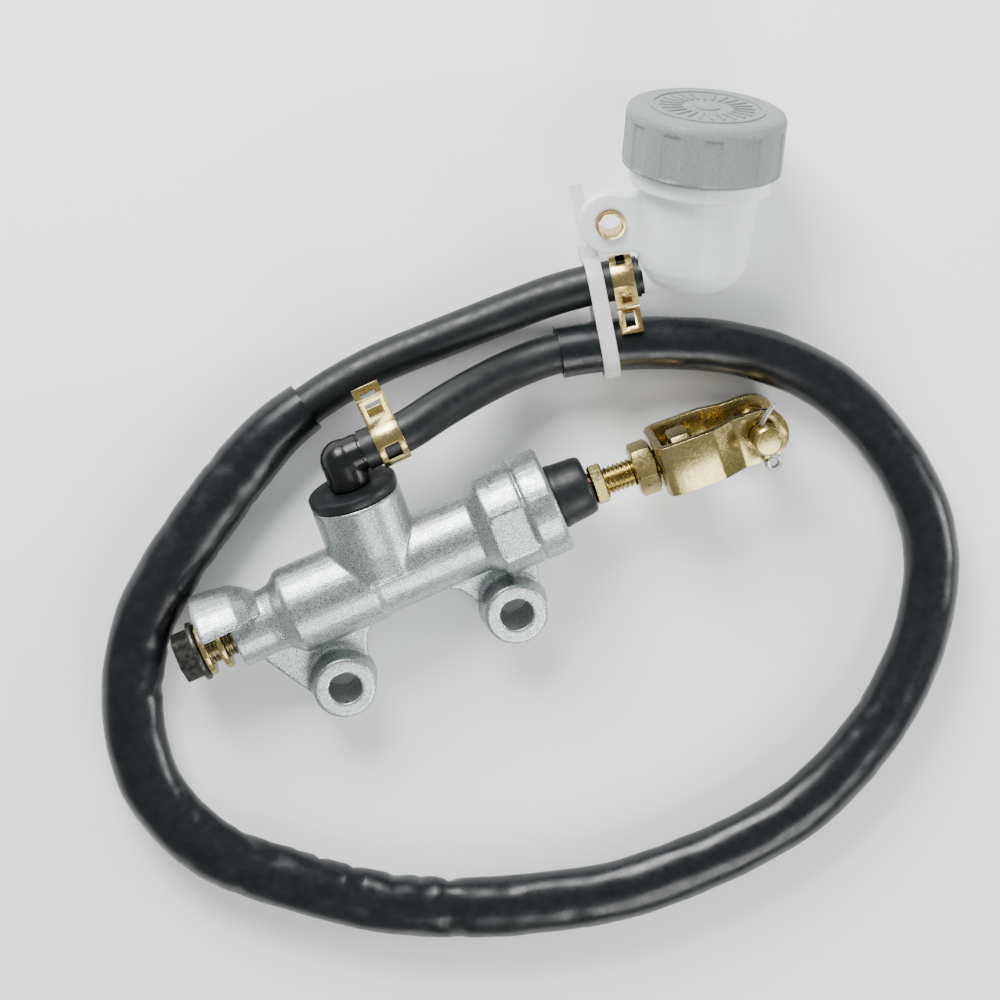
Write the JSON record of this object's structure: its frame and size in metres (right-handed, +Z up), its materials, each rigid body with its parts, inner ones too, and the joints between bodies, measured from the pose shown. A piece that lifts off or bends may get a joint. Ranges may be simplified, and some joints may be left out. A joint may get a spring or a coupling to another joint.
{
  "type": "motorcycle rear brake master cylinder",
  "caption": "Rear brake master cylinder with a piston and clevis pushrod, joined by a sleeved rubber hose to a round remote fluid reservoir with a screw cap.",
  "frame": {"origin": "under the middle of the box of the object without its hose, at the surface it lies on", "axes": "X along the bore towards the clevis, Y towards the fluid inlet, Z up from the bench"},
  "size_m": [0.2362, 0.2059, 0.046],
  "materials": {
    "cast_aluminium": "silver, fine sparkling cast surface",
    "machined_aluminium": "turned",
    "steel": "plain spring steel",
    "yellow_zinc": "yellow passivated zinc with a faint rainbow",
    "dark_oxide": "oiled black oxide",
    "rubber": "smooth black rubber",
    "vinyl_sleeve": "glossy soft vinyl tube with creases",
    "black_plastic": "moulded black",
    "milky_plastic": "translucent polyethylene",
    "clear_nylon": "translucent natural nylon",
    "grey_plastic": "fine grained grey",
    "brass": "plain turned"
  },
  "bodies": {
    "root": {"cylinder_body": "cast_aluminium", "inlet_grommet": "rubber", "inlet_elbow": "black_plastic", "circlip": "steel", "dust_boot": "rubber", "return_spring": "steel", "reservoir_body": "milky_plastic", "reservoir_bush": "brass", "fluid_hose": "rubber", "protective_sleeve": "vinyl_sleeve", "hose_clamp_inlet": "yellow_zinc", "hose_clamp_reservoir": "yellow_zinc", "cable_tie": "clear_nylon"},
    "piston_group": {"piston": "machined_aluminium", "primary_cup": "rubber", "secondary_cup": "rubber", "spring_seat": "steel"},
    "rod_seat": {"stop_washer": "steel"},
    "rod": {"pushrod": "yellow_zinc", "lock_nut": "yellow_zinc", "clevis_nut": "yellow_zinc", "clevis": "yellow_zinc"},
    "pin": {"clevis_pin": "yellow_zinc", "cotter_pin": "steel"},
    "outlet_washers": {"seal_washer_outer": "steel", "seal_washer_inner": "steel"},
    "bolt": {"banjo_bolt": "dark_oxide"},
    "lid_seal": {"diaphragm": "rubber"},
    "lid_plate": {"slip_plate": "milky_plastic"},
    "cap": {"reservoir_cap": "grey_plastic"}
  },
  "joints": [
    {"name": "piston_stroke", "type": "slide", "parent": "root", "child": "piston_group", "axis": [-1, 0, 0], "range_m": [0, 0.008], "stiffness_N_per_m": 1200, "springref_m": -0.008, "deforming": ["return_spring", "dust_boot"]},
    {"name": "pushrod_swing", "type": "hinge", "parent": "piston_group", "child": "rod_seat", "pos_m": [-0.0032, -0.02811, 0.01461], "axis": [0, 1, 0], "range_deg": [-3.5, 3.5]},
    {"name": "pushrod_spin", "type": "hinge", "parent": "rod_seat", "child": "rod", "pos_m": [-0.0032, -0.02811, 0.01461], "axis": [0.9981, -0.0591, -0.0154], "range_deg": [-10, 10]},
    {"name": "clevis_pin_turn", "type": "hinge", "parent": "rod", "child": "pin", "pos_m": [0.06467, -0.03212, 0.01356], "axis": [0, -0.2519, 0.9677], "continuous": true},
    {"name": "bolt_travel", "type": "slide", "parent": "root", "child": "outlet_washers", "axis": [1, 0, 0], "range_m": [0, 0.003]},
    {"name": "bolt_turn", "type": "hinge", "parent": "outlet_washers", "child": "bolt", "pos_m": [-0.0942, -0.02811, 0.01461], "axis": [1, 0, 0], "range_deg": [0, 864]},
    {"name": "lid_lift", "type": "slide", "parent": "root", "child": "lid_seal", "axis": [0.4244, 0.8511, 0.309], "range_m": [0, 0.03]},
    {"name": "cap_rise", "type": "slide", "parent": "lid_seal", "child": "lid_plate", "axis": [0.4244, 0.8511, 0.309], "range_m": [0, 0.0045]},
    {"name": "cap_turn", "type": "hinge", "parent": "lid_plate", "child": "cap", "pos_m": [0.0626, 0.00939, 0.01151], "axis": [0.4244, 0.8511, 0.309], "range_deg": [0, 540]}
  ],
  "couplings": [
    {"joint": "bolt_turn", "follows": "bolt_travel", "rad_per_m": 5026.5},
    {"joint": "cap_turn", "follows": "cap_rise", "rad_per_m": 2094.4}
  ]
}
